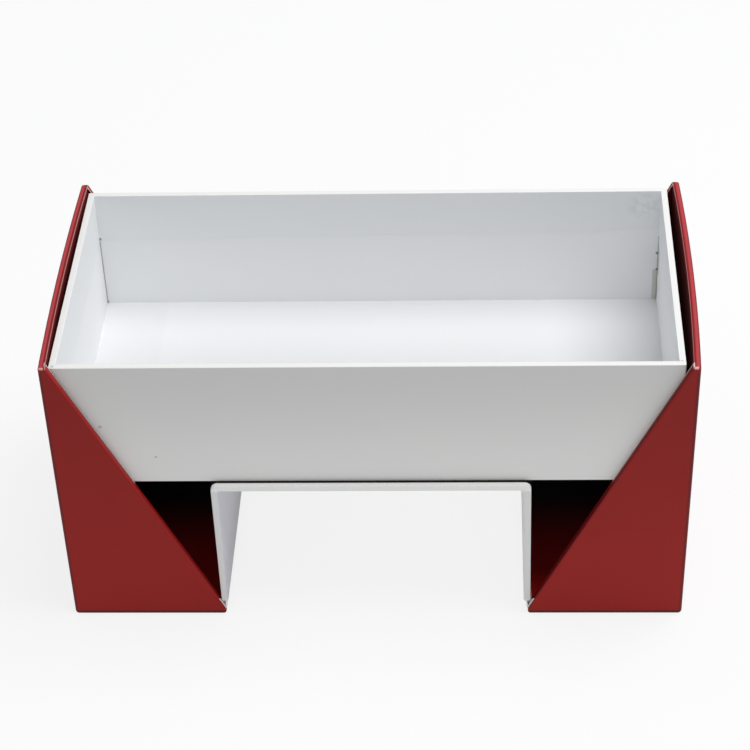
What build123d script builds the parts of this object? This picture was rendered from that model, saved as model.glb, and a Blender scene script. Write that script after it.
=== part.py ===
"""A display box that stands up on two legs.

A white rigid tray is glued on a white bridge: a plate with a leg folded down
at each end. The foot of each leg is hinged to a red corner cover, which has a
base that lies on the table, a wall beside the end of the tray, and a
triangular gusset at the front and at the back. The legs fold outwards, the
covers slide apart under them, and the tray comes down flat.

Millimetres. +Z is up, +X runs along the tray, and the front faces -Y. The
origin is on the table, in the middle of the whole box.
"""

import os
from math import atan, cos, radians, tan

from build123d import *

# Boards and papers
BOARD = 2.5              # wrapped greyboard of the bridge and the covers
LINER = 0.2              # red lining paper
PAPER = 0.18             # white wrap of the tray
TRAY_BOARD = 1.9         # walls of the tray
LINER_INSET = 1.0        # how far a cover's lining stops short of a free edge
EDGE_TURN_IN = 1.9       # how far the bridge's white wrap comes in over its edges

# Tray
TRAY_LENGTH = 220.0
TRAY_DEPTH = 108.6
TRAY_HEIGHT = 51.7
TRAY_FLOOR = 1.0         # from the underside to where the goods stand
TURN_IN = 19.3           # how far the wrap comes down inside, at mid-length
TURN_IN_SLOPE = 0.85     # degrees that its edge rises towards the right
UNDER_TURN_IN = 15.0     # how far the wrap comes in underneath
RIM_HEIGHT = 115.0       # above the table
TRAY_CORNER = 0.6        # outside radius of the upright edges
RIM_EDGE = 0.17          # radius along the rim
SLIT_DEPTH = 1.1         # open board joints in the inner corners
SLIT_WIDTHS = {(-1, 1): 0.45, (1, 1): 0.8, (-1, -1): 0.4, (1, -1): 0.4}
SLIT_HEIGHTS = {(-1, 1): 29.0, (1, 1): 20.0, (-1, -1): 28.0, (1, -1): 28.0}

# Bridge
ARCH_HALF = 54.9         # from the middle to the inner face of a leg
LEG_FOOT = 6.4           # height of a leg's lower end
FOLD_INSET = 0.7         # how far a fold line lies inside the board
FOLD_SLACK = 0.05        # how far the hinge line strays out and down from there
FOLD_GAP = 0.15          # between the plate and the top of a leg
FOLD_PAPER = 0.3         # papers that cross a fold
FOLD_WEB = 0.5           # turned-in edge that closes a fold at the front
CREASE = 1.3             # how far the slack paper fills the arch's inner corner
WRAP_EDGE = 0.45         # radius of a wrapped board edge
FOOT_ROUND = 0.9         # radius of a leg's lower end

# Covers
SIDE_CLEARANCE = 0.2     # between the tray and each gusset
COVER_BASE = 56.9        # length of the base
COVER_HEIGHTS = {"left": 117.2, "right": 116.0}
COVER_FOLD = 1.5         # outside radius between the base and the wall
COVER_EDGE = 0.9         # radius round a gusset
TOP_EDGE = 0.95          # radius of the wall's top edge and the base's tip
TIPS = {"left": 56.1, "right": 56.5}       # from the tray's middle to the base
LEANS = {"left": 0.0, "right": 0.7}        # degrees that a wall leans out
BOWS = {"left": 1.0, "right": 1.4}         # how far a wall's top bows outwards
BASE_PRESS = 0.02        # pressed flat under a base, where it rests on the table
HINGE_FLAP = 1.4         # hinge paper that lies on the base
HINGE_EAR = 5.4          # its pointed ends on the gussets' slanted edges
EAR_PAPER = 0.2

# Worked out
WALL = BOARD + LINER
TRAY_BOTTOM = RIM_HEIGHT - TRAY_HEIGHT
INNER_LENGTH = TRAY_LENGTH - 2 * (PAPER + TRAY_BOARD)
INNER_DEPTH = TRAY_DEPTH - 2 * (PAPER + TRAY_BOARD)
FLOOR_TOP = TRAY_BOTTOM + TRAY_FLOOR
TURN_IN_EDGE = RIM_HEIGHT - TURN_IN
TURN_IN_RISE = INNER_LENGTH / 2 * tan(radians(TURN_IN_SLOPE))
UNDERSIDE = TRAY_BOTTOM - WALL             # of the bridge plate
LEG_TOP = UNDERSIDE - FOLD_GAP
COVER_DEPTH = TRAY_DEPTH + 2 * (SIDE_CLEARANCE + WALL)
POCKET_DEPTH = COVER_DEPTH - 2 * BOARD
LINED_DEPTH = POCKET_DEPTH - 2 * LINER
HINGE_X = ARCH_HALF + FOLD_INSET + FOLD_SLACK    # a leg laid flat clears the tray
HINGE_Z = UNDERSIDE + FOLD_INSET - FOLD_SLACK
LEAN_REACH = {side: COVER_HEIGHTS[side] * tan(radians(LEANS[side])) for side in TIPS}
REACHES = {side: TIPS[side] + COVER_BASE + LEAN_REACH[side] + BOWS[side] for side in TIPS}
TRAY_X = (REACHES["left"] - REACHES["right"]) / 2    # the tray's middle, off the box's


def level(height):
    """The level plane at a height, centred on the tray."""
    return Plane(origin=(TRAY_X, 0, height))


def across(side, along=0.0):
    """An upright plane at a place along Y, drawn outwards from the tray's middle."""
    if side == "left":
        return Plane(origin=(TRAY_X, along, 0), x_dir=(-1, 0, 0), z_dir=(0, 1, 0))
    return Plane(origin=(TRAY_X, along, 0), x_dir=(1, 0, 0), z_dir=(0, -1, 0))


def bow_at(side, along):
    """How far the top of a wall stands out at a place along Y: a parabola from end to end."""
    return BOWS[side] * (1 - (2 * along / COVER_DEPTH) ** 2)


def on_wall(side, inward, height, along=COVER_DEPTH / 2):
    """A point of a cover's wall: inward from its outer face, at a height."""
    lean = radians(LEANS[side]) + atan(bow_at(side, along) / COVER_HEIGHTS[side])
    return (TIPS[side] + COVER_BASE + height * tan(lean) - inward / cos(lean), height)


def slope_inset(side, distance, along=COVER_DEPTH / 2):
    """Two points on a line inside a gusset's slanted edge, at a distance."""
    low = Vector(TIPS[side], WALL)
    high = Vector(*on_wall(side, WALL, COVER_HEIGHTS[side], along))
    outwards = (high - low).normalized()
    shift = Vector(outwards.Y, -outwards.X) * distance
    return low + shift, high + shift


os.makedirs("parts", exist_ok=True)

# Tray board: a floor and four walls, with open joints in the inner corners
with BuildPart() as tray_board:
    with BuildSketch(level(TRAY_BOTTOM + PAPER)):
        RectangleRounded(TRAY_LENGTH - 2 * PAPER, TRAY_DEPTH - 2 * PAPER, TRAY_CORNER - PAPER)
    extrude(amount=TRAY_HEIGHT - 2 * PAPER)
    with BuildSketch(level(FLOOR_TOP)):
        Rectangle(INNER_LENGTH, INNER_DEPTH)
    extrude(amount=TRAY_HEIGHT, mode=Mode.SUBTRACT)
    for (end, back), width in SLIT_WIDTHS.items():
        slit_x = end * (INNER_LENGTH + SLIT_DEPTH) / 2
        slit_y = back * (INNER_DEPTH - width) / 2
        with BuildSketch(level(FLOOR_TOP)):
            with Locations((slit_x, slit_y)):
                Rectangle(SLIT_DEPTH, width)
        extrude(amount=SLIT_HEIGHTS[end, back], mode=Mode.SUBTRACT)
tray_board.part.label = "tray_board"
export_step(tray_board.part, "parts/tray_board.step")

# Tray wrap: round the outside, over the rim, down inside and underneath
with BuildPart() as tray_wrap:
    with BuildSketch(level(TRAY_BOTTOM)):
        RectangleRounded(TRAY_LENGTH, TRAY_DEPTH, TRAY_CORNER)
    extrude(amount=TRAY_HEIGHT)
    with BuildSketch(level(FLOOR_TOP)):
        Rectangle(INNER_LENGTH - 2 * PAPER, INNER_DEPTH - 2 * PAPER)
    extrude(amount=TRAY_HEIGHT, mode=Mode.SUBTRACT)
    fillet(tray_wrap.faces().sort_by(Axis.Z)[-1].edges(), RIM_EDGE)
    with BuildSketch(across("right")):
        with BuildLine():
            Polyline(
                (-INNER_LENGTH / 2, FLOOR_TOP),
                (INNER_LENGTH / 2, FLOOR_TOP),
                (INNER_LENGTH / 2, TURN_IN_EDGE + TURN_IN_RISE),
                (-INNER_LENGTH / 2, TURN_IN_EDGE - TURN_IN_RISE),
                close=True,
            )
        make_face()
    extrude(amount=INNER_DEPTH / 2, both=True, mode=Mode.SUBTRACT)
    with BuildSketch(level(TRAY_BOTTOM)):
        Rectangle(TRAY_LENGTH - 2 * UNDER_TURN_IN, TRAY_DEPTH - 2 * UNDER_TURN_IN)
    extrude(amount=TRAY_HEIGHT / 2, mode=Mode.SUBTRACT)
    with BuildSketch(level(TRAY_BOTTOM + PAPER)):
        RectangleRounded(TRAY_LENGTH - 2 * PAPER, TRAY_DEPTH - 2 * PAPER, TRAY_CORNER - PAPER)
        Rectangle(INNER_LENGTH, INNER_DEPTH, mode=Mode.SUBTRACT)
    extrude(amount=TRAY_HEIGHT - 2 * PAPER, mode=Mode.SUBTRACT)
    with BuildSketch(level(TRAY_BOTTOM + PAPER)):
        Rectangle(INNER_LENGTH, INNER_DEPTH)
    extrude(amount=TRAY_FLOOR - PAPER, mode=Mode.SUBTRACT)
tray_wrap.part.label = "tray_wrap"
export_step(tray_wrap.part, "parts/tray_wrap.step")

# Bridge plate: the wrapped board under the tray
with BuildPart() as bridge_plate:
    with BuildSketch(level(UNDERSIDE)):
        Rectangle(2 * ARCH_HALF, COVER_DEPTH)
    extrude(amount=BOARD)
    fillet(bridge_plate.edges().filter_by(Axis.X), WRAP_EDGE)
bridge_plate.part.label = "bridge_plate"
export_step(bridge_plate.part, "parts/bridge_plate.step")

# Red lining on the plate, which the tray is glued to
with BuildPart() as plate_liner:
    with BuildSketch(level(UNDERSIDE + BOARD)):
        Rectangle(2 * ARCH_HALF, COVER_DEPTH - 2 * EDGE_TURN_IN)
    extrude(amount=LINER)
plate_liner.part.label = "plate_liner"
export_step(plate_liner.part, "parts/plate_liner.step")

for side, tip in TIPS.items():
    plane = across(side)
    cover_height = COVER_HEIGHTS[side]

    # Leg: wrapped board, square at the fold and rounded at the foot
    with BuildPart() as leg:
        with BuildSketch(plane):
            with BuildLine():
                FilletPolyline(
                    (ARCH_HALF, LEG_TOP),
                    (ARCH_HALF, LEG_FOOT),
                    (ARCH_HALF + BOARD, LEG_FOOT),
                    (ARCH_HALF + BOARD, LEG_TOP),
                    radius=FOOT_ROUND,
                )
                Line((ARCH_HALF + BOARD, LEG_TOP), (ARCH_HALF, LEG_TOP))
            make_face()
        extrude(amount=COVER_DEPTH / 2, both=True)
        fillet(leg.edges().filter_by(Axis.Z), WRAP_EDGE)
    leg.part.label = f"{side}_leg"
    export_step(leg.part, f"parts/{side}_leg.step")

    # Red lining on the outer face of the leg
    with BuildPart() as leg_liner:
        with BuildSketch(plane):
            with Locations((ARCH_HALF + BOARD, LEG_FOOT + FOOT_ROUND)):
                Rectangle(LINER, LEG_TOP - LEG_FOOT - FOOT_ROUND, align=(Align.MIN, Align.MIN))
        extrude(amount=COVER_DEPTH / 2 - EDGE_TURN_IN, both=True)
    leg_liner.part.label = f"{side}_leg_liner"
    export_step(leg_liner.part, f"parts/{side}_leg_liner.step")

    # Upper fold: white paper round the corner, closed by a web at front and back,
    # with slack paper across the inner corner of the arch
    with BuildPart() as top_fold:
        with BuildSketch(plane):
            with BuildLine():
                Polyline(
                    (ARCH_HALF, UNDERSIDE + BOARD),
                    (ARCH_HALF, UNDERSIDE),
                    (ARCH_HALF - CREASE, UNDERSIDE),
                    (ARCH_HALF, UNDERSIDE - CREASE),
                    (ARCH_HALF, LEG_TOP),
                    (ARCH_HALF + BOARD, LEG_TOP),
                    (ARCH_HALF + BOARD, UNDERSIDE),
                )
                CenterArc((ARCH_HALF, UNDERSIDE), BOARD, 0, 90)
            make_face()
        extrude(amount=COVER_DEPTH / 2, both=True)
        with BuildSketch(plane):
            with BuildLine():
                inner_radius = BOARD - FOLD_PAPER
                Polyline(
                    (ARCH_HALF, UNDERSIDE + inner_radius),
                    (ARCH_HALF, LEG_TOP),
                    (ARCH_HALF + inner_radius, LEG_TOP),
                    (ARCH_HALF + inner_radius, UNDERSIDE),
                )
                CenterArc((ARCH_HALF, UNDERSIDE), inner_radius, 0, 90)
            make_face()
        extrude(amount=COVER_DEPTH / 2 - FOLD_WEB, both=True, mode=Mode.SUBTRACT)
        fillet(top_fold.faces().sort_by(Axis.Y)[0].edges().filter_by(GeomType.CIRCLE), WRAP_EDGE)
        fillet(top_fold.faces().sort_by(Axis.Y)[-1].edges().filter_by(GeomType.CIRCLE), WRAP_EDGE)
    top_fold.part.label = f"{side}_top_fold"
    export_step(top_fold.part, f"parts/{side}_top_fold.step")

    # Red lining round the same corner, from the plate's lining to the leg's
    with BuildPart() as fold_liner:
        with BuildSketch(plane):
            with BuildLine():
                Line((ARCH_HALF, UNDERSIDE + WALL), (ARCH_HALF, UNDERSIDE + BOARD))
                CenterArc((ARCH_HALF, UNDERSIDE), BOARD, 0, 90)
                Polyline(
                    (ARCH_HALF + BOARD, UNDERSIDE),
                    (ARCH_HALF + BOARD, LEG_TOP),
                    (ARCH_HALF + WALL, LEG_TOP),
                    (ARCH_HALF + WALL, UNDERSIDE),
                )
                CenterArc((ARCH_HALF, UNDERSIDE), WALL, 0, 90)
            make_face()
        extrude(amount=COVER_DEPTH / 2 - EDGE_TURN_IN, both=True)
    fold_liner.part.label = f"{side}_fold_liner"
    export_step(fold_liner.part, f"parts/{side}_fold_liner.step")

    # Cover: base, wall and two gussets, folded from one board. Its wall bows
    # outwards between the gussets, so its profile is carried from the front
    # over the middle to the back.
    with BuildPart() as cover:
        for along in (-COVER_DEPTH / 2, 0, COVER_DEPTH / 2):
            outer_corner = on_wall(side, 0, -BASE_PRESS, along)
            outer_tip = (tip, -BASE_PRESS)
            outer_top = on_wall(side, 0, cover_height, along)
            inner_top = on_wall(side, WALL, cover_height, along)
            with BuildSketch(across(side, along)) as profile:
                with BuildLine():
                    Polyline((tip, WALL), outer_tip, outer_corner, outer_top, inner_top, close=True)
                make_face()
                fillet(profile.vertices().sort_by_distance(outer_corner)[0], COVER_FOLD)
                fillet(profile.vertices().sort_by_distance(outer_top)[0], TOP_EDGE)
                fillet(profile.vertices().sort_by_distance(outer_tip)[0], TOP_EDGE)
        loft()
        fillet(cover.faces().sort_by(Axis.Y)[0].edges(), COVER_EDGE)
        fillet(cover.faces().sort_by(Axis.Y)[-1].edges(), COVER_EDGE)
        with BuildSketch(level(0)):
            Rectangle(4 * TRAY_LENGTH, 2 * COVER_DEPTH)
        extrude(amount=-BOARD, mode=Mode.SUBTRACT)
        for along in (-POCKET_DEPTH / 2, 0, POCKET_DEPTH / 2):
            board_corner = on_wall(side, BOARD, BOARD, along)
            board_top = on_wall(side, BOARD, 2 * cover_height, along)
            with BuildSketch(across(side, along)):
                with BuildLine():
                    Polyline((0, BOARD), board_corner, board_top, (0, 2 * cover_height), close=True)
                make_face()
        loft(mode=Mode.SUBTRACT)
    cover.part.label = f"{side}_cover"
    export_step(cover.part, f"parts/{side}_cover.step")

    # Red lining of the cover, short of its free edges and of the hinge paper
    with BuildPart() as cover_liner:
        flap_end = tip + HINGE_FLAP
        lining_top = cover_height - LINER_INSET
        for along in (-POCKET_DEPTH / 2, 0, POCKET_DEPTH / 2):
            low, high = slope_inset(side, LINER_INSET, along)
            slope_at_flap = low + (high - low) * ((flap_end - low.X) / (high.X - low.X))
            with BuildSketch(across(side, along)):
                with BuildLine():
                    Polyline(
                        (flap_end, BOARD),
                        on_wall(side, BOARD, BOARD, along),
                        on_wall(side, BOARD, lining_top, along),
                        on_wall(side, WALL + LINER_INSET / 2, lining_top, along),
                        (slope_at_flap.X, slope_at_flap.Y),
                        close=True,
                    )
                make_face()
        loft()
        for along in (-LINED_DEPTH / 2, 0, LINED_DEPTH / 2):
            lined_corner = on_wall(side, WALL, WALL, along)
            lined_top = on_wall(side, WALL, 2 * cover_height, along)
            with BuildSketch(across(side, along)):
                with BuildLine():
                    Polyline((0, WALL), lined_corner, lined_top, (0, 2 * cover_height), close=True)
                make_face()
        loft(mode=Mode.SUBTRACT)
    cover_liner.part.label = f"{side}_cover_liner"
    export_step(cover_liner.part, f"parts/{side}_cover_liner.step")

    # Foot hinge: paper from the leg's lower end to a flap glued on the base,
    # with pointed ends on the slanted edges of the gussets
    with BuildPart() as foot_fold:
        with BuildSketch(plane):
            with BuildLine():
                Polyline(
                    (ARCH_HALF + FOOT_ROUND, LEG_FOOT),
                    (ARCH_HALF + FOOT_ROUND + FOLD_PAPER, LEG_FOOT),
                    (tip, BOARD + 2 * FOLD_PAPER),
                    (tip, BOARD),
                    (tip - FOLD_PAPER, BOARD),
                    close=True,
                )
            make_face()
        extrude(amount=COVER_DEPTH / 2 - WRAP_EDGE, both=True)
        with BuildSketch(plane):
            with BuildLine():
                Polyline(
                    (tip, BOARD),
                    (tip, BOARD + 2 * FOLD_PAPER),
                    (tip + FOLD_PAPER, BOARD + FOLD_PAPER),
                    (tip + HINGE_FLAP, BOARD + FOLD_PAPER),
                    (tip + HINGE_FLAP, BOARD),
                    close=True,
                )
            make_face()
        extrude(amount=LINED_DEPTH / 2, both=True)
        low, high = slope_inset(side, 0)
        slope_start = plane.from_local_coords(low)
        slope_run = plane.from_local_coords(high) - slope_start
        slope_out = slope_run.cross(Vector(0, 1, 0))
        if slope_out.Z < 0:
            slope_out = -slope_out
        slope_plane = Plane(origin=slope_start, x_dir=slope_run, z_dir=slope_out)
        with BuildSketch(slope_plane):
            for end in (-1, 1):
                with BuildLine():
                    Polyline(
                        (0, end * (LINED_DEPTH / 2)),
                        (0, end * (COVER_DEPTH / 2 - COVER_EDGE)),
                        (HINGE_EAR, end * (COVER_DEPTH / 2 - COVER_EDGE)),
                        close=True,
                    )
                make_face()
        extrude(amount=EAR_PAPER)
    foot_fold.part.label = f"{side}_foot_fold"
    export_step(foot_fold.part, f"parts/{side}_foot_fold.step")

    print(side, "hinges, out from the tray's middle and up:", HINGE_X, HINGE_Z, tip, tip - ARCH_HALF)

print("the tray's middle is at", TRAY_X)
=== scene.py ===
import functools
import math

import bmesh
import bpy
import numpy as np
from mathutils import Matrix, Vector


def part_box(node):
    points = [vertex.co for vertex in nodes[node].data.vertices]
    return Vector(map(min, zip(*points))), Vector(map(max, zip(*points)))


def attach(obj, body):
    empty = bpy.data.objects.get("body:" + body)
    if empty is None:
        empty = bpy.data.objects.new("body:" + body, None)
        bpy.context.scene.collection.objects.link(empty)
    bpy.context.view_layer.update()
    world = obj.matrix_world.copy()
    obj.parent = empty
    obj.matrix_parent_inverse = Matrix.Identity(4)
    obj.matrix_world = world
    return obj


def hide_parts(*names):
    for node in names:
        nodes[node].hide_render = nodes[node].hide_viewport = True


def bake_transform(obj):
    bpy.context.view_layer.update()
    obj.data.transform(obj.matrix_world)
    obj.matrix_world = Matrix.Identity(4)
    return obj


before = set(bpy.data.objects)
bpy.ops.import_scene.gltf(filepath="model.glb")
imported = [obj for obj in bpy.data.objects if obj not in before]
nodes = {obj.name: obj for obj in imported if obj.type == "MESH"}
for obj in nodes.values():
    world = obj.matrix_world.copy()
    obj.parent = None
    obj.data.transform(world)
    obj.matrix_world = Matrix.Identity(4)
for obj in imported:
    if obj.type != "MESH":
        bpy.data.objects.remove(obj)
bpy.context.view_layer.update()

scene = bpy.context.scene
mm = 0.001
print("frame loaded:", len(nodes), "nodes")


# sRGB hex text to a linear colour with alpha
def hexColour(text):
    parts = [int(text[i:i + 2], 16) / 255 for i in (1, 3, 5)]
    return [c / 12.92 if c <= 0.04045 else ((c + 0.055) / 1.055) ** 2.4 for c in parts] + [1.0]


# Adds one shader node: settings are its properties, and inputs are its sockets' values or what feeds them
def addNode(tree, kind, settings=None, inputs=None):
    node = tree.nodes.new(kind)
    for key, value in (settings or {}).items():
        setattr(node, key, value)
    for key, value in (inputs or {}).items():
        if isinstance(value, bpy.types.NodeSocket):
            tree.links.new(value, node.inputs[key])
        else:
            node.inputs[key].default_value = value
    return node


# A material with an empty tree
def newMaterial(name):
    material = bpy.data.materials.new(name)
    material.use_nodes = True
    tree = material.node_tree
    tree.nodes.clear()
    return material, tree


# Camera, at the photo's viewing angle

camera = {
    "lens": 111.355,           # mm, as is the sensor's width
    "sensor": 36.0,
    "azimuth": 3.612,          # degrees round from the front, towards the right
    "elevation": 38.315,
    "roll": -2.552,
    "place": (0.041749, -0.680299, 0.607015),
    "clipStart": 0.01,
}


# Right, up and forward of a camera that looks along azimuth and elevation, turned by roll
def cameraAxes(azimuth, elevation, roll):
    a, e, r = (math.radians(angle) for angle in (azimuth, elevation, roll))
    forward = -np.array([math.sin(a) * math.cos(e), -math.cos(a) * math.cos(e), math.sin(e)])
    right = np.cross(forward, [0, 0, 1])
    right /= np.linalg.norm(right)
    up = np.cross(right, forward)
    return math.cos(r) * right + math.sin(r) * up, math.cos(r) * up - math.sin(r) * right, forward


# A camera whose columns are right, up and backward
def makeCamera():
    data = bpy.data.cameras.new("photoCamera")
    data.lens = camera["lens"]
    data.sensor_width = camera["sensor"]
    data.clip_start = camera["clipStart"]
    right, up, forward = cameraAxes(camera["azimuth"], camera["elevation"], camera["roll"])
    turned = Matrix(np.column_stack([right, up, -forward]).tolist()).to_4x4()
    turned.translation = camera["place"]
    made = bpy.data.objects.new("photoCamera", data)
    made.matrix_world = turned
    scene.collection.objects.link(made)
    scene.camera = made


makeCamera()
print("camera ready")

# Floor, sky and lamp

studio = {
    "floorHalf": 6.0,          # metres
    "floorColour": "#F9F9F9",
    "floorLift": 0.82,         # share of plain white that the camera sees in the floor
    "skyColour": "#FBFCFF",
    "skyStrength": 0.42,
    "lampPower": 11.0,
    "lampSize": 0.9,
    "lampDistance": 1.3,
    "lampTilt": 20.0,          # degrees off upright
    "lampAzimuth": 8.0,        # degrees from +X towards +Y
}


# A diffuse floor that holds the box's shadow, and that camera and glossy rays see mixed with plain white
def makeFloor():
    half = studio["floorHalf"]
    mesh = bpy.data.meshes.new("studioFloor")
    corners = [(-half, -half, 0), (half, -half, 0), (half, half, 0), (-half, half, 0)]
    mesh.from_pydata(corners, [], [(0, 1, 2, 3)])
    floor = bpy.data.objects.new("studioFloor", mesh)
    scene.collection.objects.link(floor)
    material, tree = newMaterial("paleStudioFloor")
    plain = addNode(tree, "ShaderNodeBsdfDiffuse", None, {"Color": hexColour(studio["floorColour"])})
    white = addNode(tree, "ShaderNodeEmission", None, {"Color": hexColour("#FFFFFF"), "Strength": 1.0})
    rays = addNode(tree, "ShaderNodeLightPath").outputs
    seen = addNode(tree, "ShaderNodeMath", {"operation": "MAXIMUM"},
                   {0: rays["Is Camera Ray"], 1: rays["Is Glossy Ray"]})
    share = addNode(tree, "ShaderNodeMath", {"operation": "MULTIPLY"},
                    {0: seen.outputs[0], 1: studio["floorLift"]})
    mixed = addNode(tree, "ShaderNodeMixShader", None,
                    {0: share.outputs[0], 1: plain.outputs[0], 2: white.outputs[0]})
    addNode(tree, "ShaderNodeOutputMaterial", None, {"Surface": mixed.outputs[0]})
    mesh.materials.append(material)


# A soft even sky for the light, and plain white where the camera sees it
def makeSky():
    world = bpy.data.worlds.new("studioSky")
    scene.world = world
    world.use_nodes = True
    tree = world.node_tree
    tree.nodes.clear()
    soft = addNode(tree, "ShaderNodeBackground", None,
                   {"Color": hexColour(studio["skyColour"]), "Strength": studio["skyStrength"]})
    white = addNode(tree, "ShaderNodeBackground", None, {"Color": hexColour("#FFFFFF"), "Strength": 1.0})
    rays = addNode(tree, "ShaderNodeLightPath").outputs
    seen = addNode(tree, "ShaderNodeMath", {"operation": "MAXIMUM"},
                   {0: rays["Is Camera Ray"], 1: rays["Is Transmission Ray"]})
    mixed = addNode(tree, "ShaderNodeMixShader", None,
                    {0: seen.outputs[0], 1: soft.outputs[0], 2: white.outputs[0]})
    addNode(tree, "ShaderNodeOutputWorld", None, {"Surface": mixed.outputs[0]})


# A square softbox that leans off upright and faces the box
def makeLamp():
    data = bpy.data.lights.new("softbox", "AREA")
    data.shape = "SQUARE"
    data.size = studio["lampSize"]
    data.energy = studio["lampPower"]
    tilt, azimuth = math.radians(studio["lampTilt"]), math.radians(studio["lampAzimuth"])
    aside = math.sin(tilt)
    towards = np.array([aside * math.cos(azimuth), aside * math.sin(azimuth), math.cos(tilt)])
    lamp = bpy.data.objects.new("softbox", data)
    lamp.location = towards * studio["lampDistance"]
    lamp.rotation_euler = (0, tilt, azimuth)
    scene.collection.objects.link(lamp)


makeFloor()
makeSky()
makeLamp()
scene.view_settings.view_transform = "Standard"
print("studio ready")

# What the papers' patterns and the folded pieces are drawn from: each side's direction, and sizes in mm

sides = {"left": -1.0, "right": 1.0}
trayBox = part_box("tray_board")
trayMiddle = (trayBox[0].x + trayBox[1].x) / 2 / mm

# A cover's base and wall, drawn outwards from the tray's middle
coverShape = {
    "base": 56.9,
    "wall": 2.7,               # board with its lining
    "left": {"tip": 56.1, "lean": 0.0, "bow": 1.0},
    "right": {"tip": 56.5, "lean": 0.7, "bow": 1.4},
}


# Ends of the straight line that a gusset's slanted edge follows, outwards and up
def slopeLine(side):
    shape = coverShape[side]
    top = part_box(f"{side}_cover")[1].z / mm
    lean = math.radians(shape["lean"])
    out = shape["tip"] + coverShape["base"] + top * math.tan(lean) - coverShape["wall"] / math.cos(lean)
    return np.array([shape["tip"], coverShape["wall"]]), np.array([out, top])


# Object coordinates in millimetres, as a vector and as its three axes
def objectPlace(tree):
    metres = addNode(tree, "ShaderNodeTexCoord").outputs["Object"]
    scaled = addNode(tree, "ShaderNodeVectorMath", {"operation": "SCALE"}, {0: metres, "Scale": 1 / mm})
    place = scaled.outputs[0]
    return place, addNode(tree, "ShaderNodeSeparateXYZ", None, {0: place}).outputs


# How far a coordinate is from a centre, to either side
def away(tree, value, centre=0.0):
    offset = addNode(tree, "ShaderNodeMath", {"operation": "SUBTRACT"}, {0: value, 1: centre})
    return addNode(tree, "ShaderNodeMath", {"operation": "ABSOLUTE"}, {0: offset.outputs[0]}).outputs[0]


# How far a place is from a start along a direction: the dot product of the way there and the direction
def along(tree, place, start, direction):
    offset = addNode(tree, "ShaderNodeVectorMath", {"operation": "SUBTRACT"}, {0: place, 1: start})
    return addNode(tree, "ShaderNodeVectorMath", {"operation": "DOT_PRODUCT"},
                   {0: offset.outputs[0], 1: direction}).outputs["Value"]


# The product of some masks, coordinates or numbers: of masks, it is where they overlap
def product(tree, whole, *factors):
    for factor in factors:
        whole = addNode(tree, "ShaderNodeMath", {"operation": "MULTIPLY"}, {0: whole, 1: factor}).outputs[0]
    return whole


# What a mask leaves out: one less the mask
def rest(tree, mask):
    return addNode(tree, "ShaderNodeMath", {"operation": "SUBTRACT"}, {0: 1.0, 1: mask}).outputs[0]


# Goes smoothly from first, where value is low or less, to last, where it is high or more
def fade(tree, value, low, high, first=1.0, last=0.0):
    return addNode(tree, "ShaderNodeMapRange", {"interpolation_type": "SMOOTHSTEP"},
                   {"Value": value, "From Min": low, "From Max": high, "To Min": first,
                    "To Max": last}).outputs["Result"]


# Masks of what lies below or above a limit, or between two, with edges soft millimetres wide
def below(tree, value, limit, soft=0.2):
    return fade(tree, value, limit - soft / 2, limit + soft / 2)


def above(tree, value, limit, soft=0.2):
    return fade(tree, value, limit - soft / 2, limit + soft / 2, 0.0, 1.0)


def stripe(tree, value, low, high, soft=0.2):
    return product(tree, above(tree, value, low, soft), below(tree, value, high, soft))


# Mask of a round mark about a point, in millimetres, that fades over its outer soft share
def spot(tree, place, centre, radius, soft=0.6):
    distance = addNode(tree, "ShaderNodeVectorMath", {"operation": "DISTANCE"}, {0: place, 1: centre})
    return fade(tree, distance.outputs["Value"], radius * (1 - soft), radius)


# Blends from a colour to another by a mask and a strength: each colour is hex text or a socket
def paint(tree, base, over, mask, strength=1.0):
    base, over = (hexColour(colour) if isinstance(colour, str) else colour for colour in (base, over))
    return addNode(tree, "ShaderNodeMix", {"data_type": "RGBA"},
                   {0: product(tree, mask, strength), 6: base, 7: over}).outputs[2]


# Paints round marks over a colour
def marked(tree, place, colour, marks):
    for mark in marks:
        mask = spot(tree, place, mark["centre"], mark["radius"])
        colour = paint(tree, colour, mark["colour"], mask, mark["strength"])
    return colour


# Multiplies a colour by a tone, a number or a socket, inside a mask
def toned(tree, colour, mask, tone):
    factor = addNode(tree, "ShaderNodeMix", {"data_type": "FLOAT"}, {0: mask, 2: 1.0, 3: tone}).outputs[0]
    return addNode(tree, "ShaderNodeHueSaturation", None, {"Color": colour, "Value": factor}).outputs[0]


# Papers and wrapped boards

noiseDetail = {"fibre": 2.0, "drift": 2.0, "wave": 1.0}     # finer layers in each noise


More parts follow.
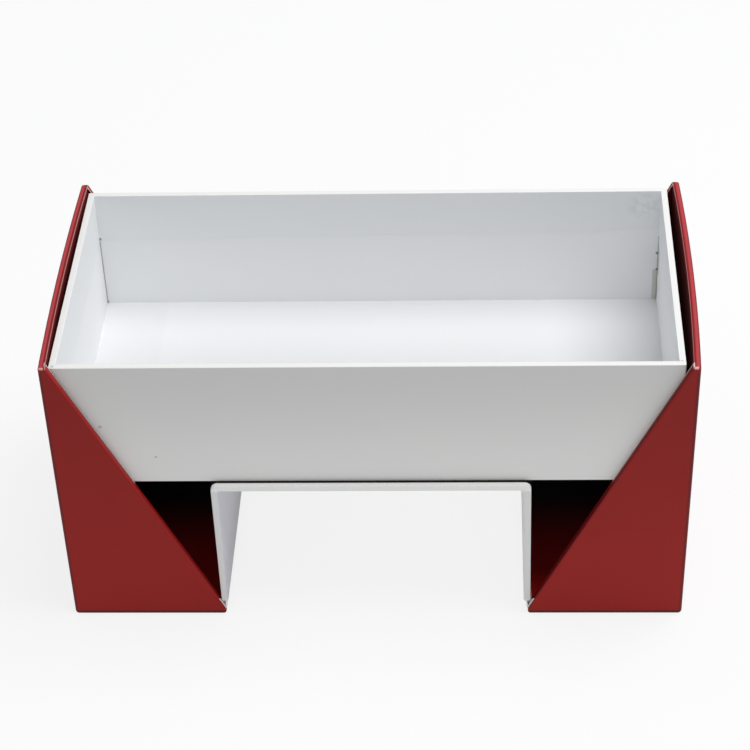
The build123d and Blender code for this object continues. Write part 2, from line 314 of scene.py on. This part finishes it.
# Wrapped board: a base colour that drifts a little, fine grain and slow waves in the bump. The fibres are
# drawn several times as coarse as real ones, so that they show.
def paperMaterial(name, look, dress=None):
    material, tree = newMaterial(name)
    place, axes = objectPlace(tree)
    noise = {}
    for pattern, detail in noiseDetail.items():
        made = addNode(tree, "ShaderNodeTexNoise", None,
                       {"Vector": place, "Scale": 1 / look[f"{pattern}Size"], "Detail": detail})
        noise[pattern] = made.outputs["Fac"]
    colour = paint(tree, look["colour"], look["driftColour"], noise["drift"], look["drift"])
    colour = paint(tree, colour, look["fibreColour"], noise["fibre"], look["fibre"])
    if dress:
        colour = dress(tree, place, axes, colour)
    slow = addNode(tree, "ShaderNodeBump", None,
                   {"Strength": 1.0, "Distance": look["waveDepth"] * mm, "Height": noise["wave"]})
    fine = addNode(tree, "ShaderNodeBump", None,
                   {"Strength": 1.0, "Distance": look["fibreDepth"] * mm, "Height": noise["fibre"],
                    "Normal": slow.outputs[0]})
    shader = addNode(tree, "ShaderNodeBsdfPrincipled", None,
                     {"Base Color": colour, "Roughness": look["roughness"], "IOR": look["ior"],
                      "Coat Weight": look["film"], "Coat Roughness": look["filmRoughness"],
                      "Normal": fine.outputs[0]})
    addNode(tree, "ShaderNodeOutputMaterial", None, {"Surface": shader.outputs[0]})
    return material


# Gives a CAD node a material in all its slots
def repaint(node, material):
    obj = nodes[node]
    if not obj.material_slots:
        obj.data.materials.append(material)
    for slot in obj.material_slots:
        slot.material = material


# Art paper laminated with a matt film: white, even, with a dull sheen
laminatedWhite = {
    "colour": "#EEEEEB", "driftColour": "#E8E9E8", "drift": 0.5, "driftSize": 38.0,
    "fibreColour": "#E6E6E3", "fibre": 0.25, "fibreSize": 0.5, "fibreDepth": 0.006,
    "waveSize": 30.0, "waveDepth": 0.12, "roughness": 0.5, "ior": 1.5, "film": 0.15, "filmRoughness": 0.4,
}

# The same paper on the arch's plate and folds, made nearly pure white: a lighter copy that paints in light,
# so that its front edges are as bright as in the photo
foldedWhiteLitCopy = laminatedWhite | {"colour": "#FEFEFB", "driftColour": "#FBFBF9", "fibreColour": "#F6F6F3"}

# Uncoated lining paper inside the tray: a cooler white with no sheen
liningWhite = {
    "colour": "#F8F9FA", "driftColour": "#F4F5F6", "drift": 0.5, "driftSize": 45.0,
    "fibreColour": "#EFF1F1", "fibre": 0.25, "fibreSize": 0.6, "fibreDepth": 0.008,
    "waveSize": 35.0, "waveDepth": 0.12, "roughness": 0.65, "ior": 1.45, "film": 0.0, "filmRoughness": 0.5,
}

# Art paper printed dark red and laminated with a matt film: deep, with a faint sheen. Its IOR is under the
# film's usual 1.5, and the red lining's under paper's, so that the sky's reflection doesn't pale the red.
laminatedRed = {
    "colour": "#A41A13", "driftColour": "#96140F", "drift": 0.7, "driftSize": 22.0,
    "fibreColour": "#8C100C", "fibre": 0.3, "fibreSize": 0.45, "fibreDepth": 0.008,
    "waveSize": 26.0, "waveDepth": 0.1, "roughness": 0.5, "ior": 1.31, "film": 0.0, "filmRoughness": 0.4,
}

# Uncoated dark red lining paper, dull: its own red painted far deeper, as painted shade in the narrow gaps it
# lines
shadedLiningRed = {
    "colour": "#1C0204", "driftColour": "#180203", "drift": 0.6, "driftSize": 20.0,
    "fibreColour": "#140102", "fibre": 0.35, "fibreSize": 0.6, "fibreDepth": 0.01,
    "waveSize": 26.0, "waveDepth": 0.08, "roughness": 0.75, "ior": 1.3, "film": 0.0, "filmRoughness": 0.5,
}

# In the dictionaries below, a pair is a limit and how soft its edge is, and places and sizes are in mm

# The tray's wrap is cooler inside, paler on its rim as a painted highlight, and outside darker towards the
# rim as painted shade
wrapDress = {
    "insideDepth": (52.25, 0.1),
    "insideLength": (107.95, 0.1),
    "insideColour": "#F2F4F5",
    "rim": (114.8, 0.1),
    # rimTone: a painted highlight on the rim's top
    "rimTone": 1.08,
    # painted shade outside: lowTone low down, going to highTone at the rim
    "low": 63.3, "high": 114.6, "lowTone": 1.03, "highTone": 0.85,
    "marks": (
        {"centre": (-95.7, -54.3, 88.7), "radius": 0.9, "colour": "#8E8E8A", "strength": 0.5},
        {"centre": (-77.2, -54.3, 74.7), "radius": 0.7, "colour": "#8A8A86", "strength": 0.45},
        {"centre": (-0.3, -54.3, 89.0), "radius": 5.0, "colour": "#D8DAD5", "strength": 0.12},
        {"centre": (-109.7, -53.2, 115.0), "radius": 0.9, "colour": "#B9C2C6", "strength": 0.7},
        {"centre": (106.4, -51.9, 115.0), "radius": 0.7, "colour": "#B9C2C6", "strength": 0.6},
        {"centre": (107.6, -51.9, 115.0), "radius": 0.7, "colour": "#B9C2C6", "strength": 0.6},
        {"centre": (-108.9, 52.0, 95.0), "radius": 1.0, "colour": "#6E7579", "strength": 0.8},
        {"centre": (106.6, 52.0, 94.0), "radius": 1.4, "colour": "#A9B0B2", "strength": 0.6},
    ),
    "blotch": {
        "centre": (100.5, 52.1, 108.0), "radius": 8.0, "colour": "#D6DADC", "strength": 0.4,
        "grainSize": 2.4, "detail": 3.0,
        "level": (0.52, 0.16),     # of the noise
    },
}


def dressWrap(tree, place, axes, colour):
    inside = product(tree, below(tree, away(tree, axes["Y"]), *wrapDress["insideDepth"]),
                     below(tree, away(tree, axes["X"], trayMiddle), *wrapDress["insideLength"]))
    rim = above(tree, axes["Z"], *wrapDress["rim"])
    either = addNode(tree, "ShaderNodeMath", {"operation": "MAXIMUM"}, {0: inside, 1: rim}).outputs[0]
    colour = paint(tree, colour, wrapDress["insideColour"], inside)
    # Painted shade on the outside, darker towards the rim
    tone = fade(tree, axes["Z"], wrapDress["low"], wrapDress["high"], wrapDress["lowTone"],
                wrapDress["highTone"])
    colour = toned(tree, colour, rest(tree, either), tone)
    # Painted highlight on the rim's top
    colour = toned(tree, colour, rim, wrapDress["rimTone"])
    colour = marked(tree, place, colour, wrapDress["marks"])
    blotch = wrapDress["blotch"]
    noise = addNode(tree, "ShaderNodeTexNoise", None,
                    {"Vector": place, "Scale": 1 / blotch["grainSize"], "Detail": blotch["detail"]})
    patches = above(tree, noise.outputs["Fac"], *blotch["level"])
    uneven = product(tree, spot(tree, place, blotch["centre"], blotch["radius"]), patches)
    return paint(tree, colour, blotch["colour"], uneven, blotch["strength"])


# The tray's lining: painted shade on the floor, deeper towards its front and left of a soft line, open joints
# in the back corners, and traces of glue at one
liningDress = {
    "floorTop": (64.4, 0.1),
    "frontTone": 0.82,         # painted shade on the floor, from its middle forward, with backTone at the back wall
    "backTone": 0.97,
    "shadeEdge": (-84.6, 1.6),
    "shadeEdgeTone": 0.975,         # painted shade on the floor, left of a soft line
    "back": (51.95, 0.1),
    "joint": {
        "colour": "#7E8589", "strength": 0.5, "top": 94.0,
        "left": (-108.68, 0.1), "right": (106.5, 0.1),
    },
    "glue": {
        "colour": "#B4B8A6", "strength": 0.55,
        "onBack": {"x": (104.9, 0.5), "y": (51.0, 0.2), "top": (78.5, 0.4)},
        "onSide": {"x": (106.7, 0.05), "y": (46.5, 1.0), "heights": (79.0, 91.0, 0.5)},
    },
    "marks": (
        {"centre": (106.4, 52.1, 86.2), "radius": 0.9, "colour": "#565C60", "strength": 0.85},
        {"centre": (106.5, 52.1, 78.6), "radius": 0.7, "colour": "#4C5256", "strength": 0.85},
        {"centre": (-108.8, 52.0, 64.8), "radius": 0.7, "colour": "#4C5256", "strength": 0.5},
    ),
}


def dressLining(tree, place, axes, colour):
    look, joint, glue = liningDress, liningDress["joint"], liningDress["glue"]
    floor = below(tree, axes["Z"], *look["floorTop"])
    # Painted shade on the floor: darker from its middle forward
    tone = fade(tree, axes["Y"], 0.0, look["back"][0], look["frontTone"], look["backTone"])
    colour = toned(tree, colour, floor, tone)
    # Painted shade left of a soft line on the floor
    leftOfShadeEdge = product(tree, floor, below(tree, axes["X"], *look["shadeEdge"]))
    colour = toned(tree, colour, leftOfShadeEdge, look["shadeEdgeTone"])
    onWall = product(tree, rest(tree, floor), below(tree, axes["Z"], joint["top"]))
    onBack = product(tree, onWall, above(tree, axes["X"], *glue["onBack"]["x"]),
                     above(tree, axes["Y"], *glue["onBack"]["y"]),
                     below(tree, axes["Z"], *glue["onBack"]["top"]))
    onSide = product(tree, onWall, above(tree, axes["X"], *glue["onSide"]["x"]),
                     above(tree, axes["Y"], *glue["onSide"]["y"]),
                     stripe(tree, axes["Z"], *glue["onSide"]["heights"]))
    for mask in (onBack, onSide):
        colour = paint(tree, colour, glue["colour"], mask, glue["strength"])
    back = above(tree, axes["Y"], *look["back"])
    for corner in (below(tree, axes["X"], *joint["left"]), above(tree, axes["X"], *joint["right"])):
        colour = paint(tree, colour, joint["colour"], product(tree, onWall, back, corner), joint["strength"])
    return marked(tree, place, colour, look["marks"])


# The legs' inner faces: the left one is painted a cool grey shade, deeper low down and from its middle back,
# and the right one, of which the photo shows nothing, is nearly white
legDress = {
    "inner": (55.1, 0.1),
    "low": 8.0, "high": 36.0,  # heights between which the painted shade fades
    "front": -45.0, "middle": 15.0,                # along y, where it goes from frontShare of it to all
    "frontShare": 0.35,
    "left": {"colour": "#DADAE4", "tone": 0.66},
    "right": {"colour": "#F6F7F4", "tone": 1.0},
}


def dressLeg(tree, place, axes, colour, side):
    inner = below(tree, away(tree, axes["X"], trayMiddle), *legDress["inner"])
    colour = paint(tree, colour, legDress[side]["colour"], inner)
    # Painted shade on the inner face: deeper low down and towards the middle
    shadeMask = product(tree, inner, fade(tree, axes["Z"], legDress["low"], legDress["high"]),
                   fade(tree, axes["Y"], legDress["front"], legDress["middle"], legDress["frontShare"], 1.0))
    return toned(tree, colour, shadeMask, legDress[side]["tone"])


# The covers' wrap. Across a wall's top, inwards: a dark shoulder of painted shade, a band of painted
# highlight, a deep band of painted shade and the pale cut edge of the paper. Across a gusset's slanted edge:
# a band, of painted highlight on the left and painted shade on the right, on the left a dark line of painted
# shade too, and the pale cut edge. The upright corners have a dark outline of painted shade, bare paper shows
# at the front corner of each wall's top, the lower edges are darkened with painted shade, and all of it is
# painted darker towards the top.
coverDress = {
    # painted shade: the whole wrap darker towards its top
    "low": 2.0, "high": 112.0, "lowTone": 1.04, "highTone": 0.86,
    "top": (0.7, 0.4),         # depth below a wall's top that its bands reach
    # topBands: painted shade, painted highlight, painted shade, then the paper's pale cut edge
    "topBands": (              # first, last, colour, strength
        (-0.2, 0.5, "#6E1C22", 0.6), (0.5, 1.65, "#C2474D", 0.75), (1.7, 2.3, "#7A1A1E", 0.7),
        (2.42, 2.75, "#C39A96", 0.8),
    ),
    # outline: painted shade along the upright corners
    "outline": {
        "colour": "#52161F", "strength": 0.6,
        "width": (1.2, 0.5), "depth": (0.8, 0.3), "top": (2.0, 2.0),
    },
    # painted shade along the lower edges
    "bottomShade": {"colour": "#3A0B0B", "strength": 0.75, "height": (1.7, 0.5)},
    "slope": (0.35, 0.3),      # distance from a slanted edge that its bands reach
    "slopeStart": 1.0,         # softness of their lower ends
    # edgeBands: first, last, colour, strength, lower end; bare: across from the front face to and from, then
    # inwards to and from, colour, strength
    # edgeBands: painted highlight and a line of painted shade on the left, painted shade on the right, then
    # the pale cut edge
    "left": {
        "edgeBands": ((0.2, 1.75, "#B0282B", 0.7, 3.0), (1.75, 2.1, "#4A1018", 0.75, 60.0),
                      (2.15, 2.85, "#EBDAD2", 1.0, 63.0)),
        "bare": ((-0.2, 0.6, 0.2, 2.0, "#F0B0AA", 0.85), (1.2, 3.6, 2.0, 2.45, "#D9A6A6", 0.6)),
    },
    "right": {
        "edgeBands": ((0.2, 1.9, "#5C0F14", 0.75, 3.0), (2.15, 2.85, "#E6D6CE", 1.0, 63.0)),
        "bare": ((0.6, 3.0, 2.2, 2.7, "#EBCFCB", 0.85), (-0.2, 0.7, 0.9, 2.3, "#F4C4BE", 0.85)),
    },
}


# Coordinates on a cover, in mm: inward from its wall's outer face, which is a leaning plane and a bow that
# is a parabola of y times height, inward from a gusset's outer face, and square in from its slanted edge
def coverCoordinates(tree, place, axes, side):
    shape, sign = coverShape[side], sides[side]
    low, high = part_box(f"{side}_cover")
    depth = (high.y - low.y) / mm
    height = high.z / mm
    foot = (trayMiddle + sign * (shape["tip"] + coverShape["base"]), 0, 0)
    plane = along(tree, place, foot, (-sign, 0, math.tan(math.radians(shape["lean"]))))
    share = product(tree, axes["Y"], 2 / depth)
    bow = product(tree, rest(tree, product(tree, share, share)), axes["Z"], shape["bow"] / height)
    inward = addNode(tree, "ShaderNodeMath", {"operation": "ADD"}, {0: plane, 1: bow}).outputs[0]
    fromFace = addNode(tree, "ShaderNodeMath", {"operation": "SUBTRACT"},
                       {0: depth / 2, 1: away(tree, axes["Y"])}).outputs[0]
    start, end = slopeLine(side)
    run = (end - start) / np.linalg.norm(end - start)
    slopeStart = (trayMiddle + sign * start[0], 0, start[1])
    return inward, fromFace, along(tree, place, slopeStart, (sign * run[1], 0, -run[0])), height


def dressCover(tree, place, axes, colour, side):
    inward, fromFace, fromSlope, height = coverCoordinates(tree, place, axes, side)
    look, outline, bottomShade = coverDress, coverDress["outline"], coverDress["bottomShade"]
    # Painted shade: darker towards the top
    tone = fade(tree, axes["Z"], look["low"], look["high"], look["lowTone"], look["highTone"])
    colour = toned(tree, colour, 1.0, tone)
    # Painted shade along the upright corners
    gap, soft = outline["top"]
    edge = product(tree, below(tree, inward, *outline["width"]), below(tree, fromFace, *outline["depth"]),
                   below(tree, axes["Z"], height - gap, soft))
    colour = paint(tree, colour, outline["colour"], edge, outline["strength"])
    # Painted highlight and shade along the slanted edges, and the pale cut edge
    onSlope = below(tree, fromSlope, *look["slope"])
    for first, last, over, strength, lower in look[side]["edgeBands"]:
        band = product(tree, onSlope, stripe(tree, fromFace, first, last),
                       above(tree, axes["Z"], lower, look["slopeStart"]))
        colour = paint(tree, colour, over, band, strength)
    # Painted shade and highlight across a wall's top, and the pale cut edge
    gap, soft = look["top"]
    onTop = above(tree, axes["Z"], height - gap, soft)
    for first, last, over, strength in look["topBands"]:
        band = product(tree, onTop, stripe(tree, inward, first, last))
        colour = paint(tree, colour, over, band, strength)
    onFront = product(tree, onTop, below(tree, axes["Y"], 0.0))
    for near, far, first, last, over, strength in look[side]["bare"]:
        patch = product(tree, onFront, stripe(tree, fromFace, near, far), stripe(tree, inward, first, last))
        colour = paint(tree, colour, over, patch, strength)
    # Painted shade along the lower edges
    return paint(tree, colour, bottomShade["colour"], below(tree, axes["Z"], *bottomShade["height"]), bottomShade["strength"])


# The covers' lining is an even red on the walls; on the bases painted shade deepens it from the ends to the
# middle, and painted light brightens the red at the ends
pocketRed = shadedLiningRed | {"colour": "#5E0709", "driftColour": "#560608", "fibreColour": "#4C0507"}
pocketDress = {
    "baseTop": (3.3, 0.4),
    "middle": 14.0, "near": 6.0, "far": 46.0,      # along y, and distances from there
    "shadedMiddleColour": "#1C0204",
    "litEndColour": "#C00E0B",
}


def dressPocket(tree, place, axes, colour):
    # Painted shade in the middle of the bases and painted light at their ends
    fromDeepest = away(tree, axes["Y"], pocketDress["middle"])
    ends = fade(tree, fromDeepest, pocketDress["near"], pocketDress["far"], 0.0, 1.0)
    base = paint(tree, pocketDress["shadedMiddleColour"], pocketDress["litEndColour"], ends)
    return paint(tree, colour, base, below(tree, axes["Z"], *pocketDress["baseTop"]))


# The folded papers' material is the lighter copy, with painted light in its whiteness
whiteWrap = paperMaterial("laminatedWhiteFoldedPaperLitCopy", foldedWhiteLitCopy)
# The liners of the plate, legs and folds get the red with painted shade
shadedRedLining = paperMaterial("uncoatedRedLiningPaintedShade", shadedLiningRed)
repaint("tray_board", paperMaterial("uncoatedWhiteLining", liningWhite, dressLining))
repaint("tray_wrap", paperMaterial("laminatedWhiteTrayWrap", laminatedWhite, dressWrap))
repaint("bridge_plate", whiteWrap)
repaint("plate_liner", shadedRedLining)
pocketLining = paperMaterial("uncoatedRedPocketLining", pocketRed, dressPocket)
for side in sides:
    legWrap = paperMaterial(f"laminatedWhite{side.capitalize()}Leg", laminatedWhite,
                            functools.partial(dressLeg, side=side))
    coverWrap = paperMaterial(f"laminatedRed{side.capitalize()}Cover", laminatedRed,
                              functools.partial(dressCover, side=side))
    repaint(f"{side}_leg", legWrap)
    repaint(f"{side}_cover", coverWrap)
    repaint(f"{side}_leg_liner", shadedRedLining)
    repaint(f"{side}_cover_liner", pocketLining)
    for name in ("top_fold", "foot_fold"):
        repaint(f"{side}_{name}", whiteWrap)
    repaint(f"{side}_fold_liner", shadedRedLining)
print("materials ready")

# Creased papers: the folds are set in place, and the feet's pointed ends ride the covers


# Places in the row frame, in metres, of points drawn outwards from the tray's middle, along y and up, in mm
def placed(side, out, along, up):
    return np.stack([trayMiddle + sides[side] * out, along, up], axis=-1) * mm


# A node's least and greatest distance outwards from the tray's middle, in mm
def reach(side, node):
    return sorted(sides[side] * (corner.x / mm - trayMiddle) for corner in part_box(node))


# Points of an arc: centre + radius (cos(t), sin(t)), for t from one angle to another in degrees
def arc(centre, radius, first, last, count):
    angle = np.radians(np.linspace(first, last, count))
    return np.stack([centre[0] + radius * np.cos(angle), centre[1] + radius * np.sin(angle)], axis=1)


# A closed outline carried along y: outlineAt(inset(v)) at y(v), where the inset follows a quarter circle
# over the last edge millimetres of each end, which is closed by one flat face
def carriedLoop(name, side, outlineAt, half, edge, steps=24, roundSteps=5):
    quarter = np.linspace(0, math.pi / 2, roundSteps)
    rounded = half - edge + edge * np.sin(quarter)
    inset = edge * (1 - np.cos(quarter))
    along = np.concatenate([-rounded[::-1], np.linspace(-half + edge, half - edge, steps)[1:-1], rounded])
    inward = np.concatenate([inset[::-1], np.zeros(steps - 2), inset])
    points = np.stack([outlineAt(value) for value in inward])
    place = placed(side, points[..., 0], np.broadcast_to(along[:, None], points.shape[:2]), points[..., 1])
    rows, count = points.shape[:2]
    index = np.arange(rows * count).reshape(rows, count)
    ahead = np.roll(index, -1, axis=1)
    quads = np.stack([index[:-1], ahead[:-1], ahead[1:], index[1:]], axis=-1).reshape(-1, 4).tolist()
    ends = [index[0, ::-1].tolist(), index[-1].tolist()]
    return newPiece(name, place.reshape(-1, 3), quads + ends)


# A mesh object whose faces point outwards, smooth but for its sharp edges
def newPiece(name, places, faces, sharp=35.0):
    mesh = bpy.data.meshes.new(name)
    mesh.from_pydata(np.asarray(places).tolist(), [], faces)
    shape = bmesh.new()
    shape.from_mesh(mesh)
    bmesh.ops.recalc_face_normals(shape, faces=shape.faces)
    shape.to_mesh(mesh)
    shape.free()
    mesh.polygons.foreach_set("use_smooth", np.ones(len(mesh.polygons), bool))
    mesh.set_sharp_from_angle(angle=math.radians(sharp))
    made = bpy.data.objects.new(name, mesh)
    scene.collection.objects.link(made)
    return made


upperFold = {
    "lining": 0.2,             # thickness of the red lining
    "edge": 0.45,              # rounding of the wrapped ends
    "thinEdge": 0.05,
    "crease": {"left": (0.8, 0.8), "right": (1.3, 2.4)},   # slack paper's reach along the plate and the leg
    "sag": 0.08,               # how far it is hollow, as a share of its reach
    "bendHalf": 1.98,          # half the stretch that bends, across the fold line
    "creaseHalf": 1.05,
    "turnPoints": 13,
    "creasePoints": 9,
}


# Sets a piece between the tray and a leg in place, with its transform baked into its mesh; it is not bent
def bendAtFold(made):
    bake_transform(made)


# The wrapped corner is a quarter turn about the arch's inner corner, which its ends' rounding makes smaller
def makeFoldBody(side, corner, thick, legTop):
    def outlineAt(inset):
        turn = arc(corner, thick - inset, 90, 0, upperFold["turnPoints"])
        return np.concatenate([turn, [(corner[0] + thick - inset, legTop), (corner[0], legTop)]])

    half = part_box("bridge_plate")[1].y / mm
    made = carriedLoop(f"{side}_foldBody", side, outlineAt, half, upperFold["edge"])
    made.data.materials.append(whiteWrap)
    bendAtFold(made)
    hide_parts(f"{side}_top_fold")


# The lining is a thin ring sector over the wrapped corner
def makeFoldLining(side, corner, thick, legTop):
    outer = thick + upperFold["lining"]
    outline = np.concatenate([arc(corner, outer, 90, 0, upperFold["turnPoints"]),
                              [(corner[0] + outer, legTop), (corner[0] + thick, legTop)],
                              arc(corner, thick, 0, 90, upperFold["turnPoints"])])
    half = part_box(f"{side}_fold_liner")[1].y / mm
    made = carriedLoop(f"{side}_foldLining", side, lambda inset: outline, half, upperFold["thinEdge"])
    made.data.materials.append(shadedRedLining)
    bendAtFold(made)
    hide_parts(f"{side}_fold_liner")


# The slack paper fills the inner corner up to a chord from board to board, less half a sine wave
def makeCreasePaper(side, corner):
    alongPlate, alongLeg = upperFold["crease"][side]
    share = np.linspace(0, 1, upperFold["creasePoints"])
    chord = np.stack([corner[0] - alongPlate * (1 - share), corner[1] - alongLeg * share], axis=1)
    hollow = upperFold["sag"] * alongPlate * np.sin(math.pi * share)[:, None] / math.sqrt(2)
    outline = np.concatenate([chord + hollow, [corner]])
    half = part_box("bridge_plate")[1].y / mm - upperFold["edge"]
    made = carriedLoop(f"{side}_creasePaper", side, lambda inset: outline, half, upperFold["thinEdge"])
    made.data.materials.append(whiteWrap)
    bendAtFold(made)


def makeUpperFold(side):
    archHalf = reach(side, f"{side}_leg")[0]
    corner = (archHalf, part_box("bridge_plate")[0].z / mm)
    thick = reach(side, f"{side}_leg_liner")[1] - archHalf - upperFold["lining"]
    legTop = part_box(f"{side}_leg")[1].z / mm
    makeFoldBody(side, corner, thick, legTop)
    makeFoldLining(side, corner, thick, legTop)
    makeCreasePaper(side, corner)


footFold = {
    "paper": 0.3,              # thickness
    "flapTop": 2.8,            # height of the glued flap's upper face
    "flapLength": 1.4,         # how far it reaches in over the base
    "edge": 0.1,
    "hangPoints": 7,
    "legOverlap": 0.1,         # how far below the leg's end the bend stops
    "earLength": 5.4,          # its pointed ends, up the gussets' slanted edges
    "earRise": 2.0,            # how far up their third corners lie
    "earPaper": 0.2,
    "earInset": 0.25,          # between an ear and the gusset's outer face
}


# The foot's hinge paper is a thin strip: flat on the base, over its tip and in a straight line up to the leg
def makeHingePaper(side):
    inward = reach(side, f"{side}_foot_fold")[0]
    tip = coverShape[side]["tip"]
    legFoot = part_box(f"{side}_leg")[0].z / mm
    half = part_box(f"{side}_foot_fold")[1].y / mm
    paper = footFold["paper"]
    flapTop = footFold["flapTop"]
    flapEnd = tip + footFold["flapLength"]
    hang = np.linspace(0, 1, footFold["hangPoints"])
    outerFoot = tip + paper / 2
    outside = np.stack([outerFoot + (inward + paper - outerFoot) * hang,
                        flapTop + (legFoot - flapTop) * hang], axis=1)
    inside = np.stack([inward + (tip - paper - inward) * hang, legFoot + (flapTop - paper - legFoot) * hang],
                      axis=1)
    flap = [(tip, flapTop - paper), (flapEnd, flapTop - paper), (flapEnd, flapTop)]
    outline = np.concatenate([flap, outside, inside])
    made = carriedLoop(f"{side}_hingePaper", side, lambda inset: outline, half, footFold["edge"])
    made.data.materials.append(whiteWrap)
    placed(side, inward, 0.0, legFoot - footFold["legOverlap"]).tolist()
    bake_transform(made)
    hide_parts(f"{side}_foot_fold")


# Each pointed end is a triangle on the slanted edge, its long side along the gusset's outer face, and raised
# by the paper's thickness square to the edge
def makeHingeEars(side):
    low, high = slopeLine(side)
    run = (high - low) / np.linalg.norm(high - low)
    lift = np.array([-run[1], run[0]]) * footFold["earPaper"]
    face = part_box(f"{side}_cover")[1].y / mm
    outer = face - footFold["earInset"]
    corners = [(footFold["earRise"], face - coverShape["wall"]), (0.0, outer), (footFold["earLength"], outer)]
    for end, word in ((-1, "front"), (1, "back")):
        flat = np.array([[*(low + run * reachUp), end * along] for reachUp, along in corners])
        raised = flat + [lift[0], lift[1], 0.0]
        points = np.concatenate([flat, raised])
        made = newPiece(f"{side}_{word}HingeEar", placed(side, points[:, 0], points[:, 2], points[:, 1]),
                        [(0, 2, 1), (3, 4, 5), (0, 1, 4, 3), (1, 2, 5, 4), (2, 0, 3, 5)])
        made.data.materials.append(whiteWrap)
        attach(made, f"{side}_cover")


for side in sides:
    makeUpperFold(side)
    makeHingePaper(side)
    makeHingeEars(side)
print("creased papers ready")
